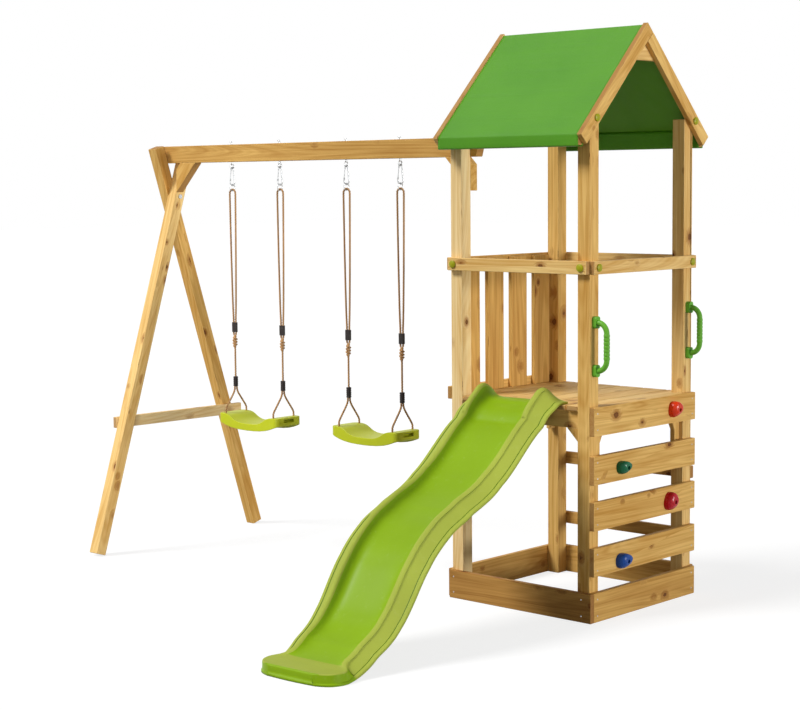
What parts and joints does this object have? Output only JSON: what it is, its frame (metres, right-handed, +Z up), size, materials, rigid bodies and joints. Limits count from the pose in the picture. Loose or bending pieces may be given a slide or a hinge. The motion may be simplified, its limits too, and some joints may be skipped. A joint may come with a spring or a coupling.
{
  "type": "wooden climbing frame",
  "caption": "Wooden climbing frame: a roofed tower with a wavy slide, a climbing wall and a slatted panel, and a swing arm on an A-frame with hanging swings.",
  "frame": {"origin": "on the ground, under the middle of the part's box", "axes": "+Z up; +X along the swing beam from the A-frame to the climbing wall; +Y from the slide's exit to the ladder side"},
  "size_m": [2.84, 2.2794, 2.486],
  "materials": {
    "timber": "planed pressure-treated softwood, satin",
    "board": "planed pressure-treated softwood, satin",
    "tarp": "coated woven sheet, half gloss",
    "slide": "moulded polyethylene, half gloss",
    "seat": "moulded polyethylene, half gloss",
    "cap": "moulded plastic, satin",
    "handle": "moulded plastic, half gloss",
    "hold_orange": "moulded resin, satin",
    "hold_green": "moulded resin, satin",
    "hold_red": "moulded resin, satin",
    "hold_blue": "moulded resin, satin",
    "steel": "galvanised",
    "rope": "laid hemp-coloured rope",
    "fitting": "moulded plastic, satin"
  },
  "bodies": {
    "tower": {"post_slide_panel": "timber", "post_slide_wall": "timber", "post_ladder_wall": "timber", "post_ladder_panel": "timber", "base_board_slide": "board", "base_board_wall": "board", "base_board_ladder": "board", "base_board_panel": "board", "rail_slide": "board", "rail_wall": "board", "rail_ladder": "board", "rail_panel": "board", "panel_lower_rail": "board", "panel_slats": "board", "deck_boards": "board", "deck_joists": "board", "joist_gussets": "board", "wall_board_1": "board", "wall_board_2": "board", "wall_board_3": "board", "wall_board_4": "board", "ladder_rungs": "board", "hold_orange": "hold_orange", "hold_green": "hold_green", "hold_red": "hold_red", "hold_blue": "hold_blue", "hold_bolts": "steel", "grab_handle_near": "handle", "grab_handle_far": "handle", "rafters_wall_gable": "board", "rafters_panel_gable": "board", "gable_plates": "board", "ridge_batten": "board", "eave_battens": "board", "roof_tarp": "tarp", "coach_screws": "steel", "screw_caps": "cap", "swing_beam": "timber", "leg_front": "timber", "leg_back": "timber", "leg_bolt": "steel", "leg_crossbar": "board", "knee_braces": "timber", "hanger_rods_near": "steel", "hanger_rods_far": "steel", "slide": "slide"},
    "swing_near": {"seat_near": "seat", "carabiners_near": "steel", "rope_rings_near": "steel", "ropes_near": "rope", "rope_fittings_near": "fitting"},
    "gate_near_left": {"gate_near_left": "steel"},
    "gate_near_right": {"gate_near_right": "steel"},
    "swing_far": {"seat_far": "seat", "carabiners_far": "steel", "rope_rings_far": "steel", "ropes_far": "rope", "rope_fittings_far": "fitting"},
    "gate_far_left": {"gate_far_left": "steel"},
    "gate_far_right": {"gate_far_right": "steel"}
  },
  "joints": [
    {"name": "swing_near_hinge", "type": "hinge", "parent": "tower", "child": "swing_near", "pos_m": [0.04995, 0.38966, 1.91126], "axis": [1, 0, 0], "range_deg": [-60, 60]},
    {"name": "gate_near_left_hinge", "type": "hinge", "parent": "swing_near", "child": "gate_near_left", "pos_m": [-0.13465, 0.38966, 1.85047], "axis": [0, 1, 0], "range_deg": [0, 14], "stiffness_Nm_per_rad": 0.02, "springref_deg": -5.73},
    {"name": "gate_near_right_hinge", "type": "hinge", "parent": "swing_near", "child": "gate_near_right", "pos_m": [0.20535, 0.38966, 1.85047], "axis": [0, 1, 0], "range_deg": [0, 14], "stiffness_Nm_per_rad": 0.02, "springref_deg": -5.73},
    {"name": "swing_far_hinge", "type": "hinge", "parent": "tower", "child": "swing_far", "pos_m": [-0.73604, 0.38966, 1.91126], "axis": [1, 0, 0], "range_deg": [-60, 60]},
    {"name": "gate_far_left_hinge", "type": "hinge", "parent": "swing_far", "child": "gate_far_left", "pos_m": [-0.92065, 0.38966, 1.85047], "axis": [0, 1, 0], "range_deg": [0, 14], "stiffness_Nm_per_rad": 0.02, "springref_deg": -5.73},
    {"name": "gate_far_right_hinge", "type": "hinge", "parent": "swing_far", "child": "gate_far_right", "pos_m": [-0.58065, 0.38966, 1.85047], "axis": [0, 1, 0], "range_deg": [0, 14], "stiffness_Nm_per_rad": 0.02, "springref_deg": -5.73}
  ]
}
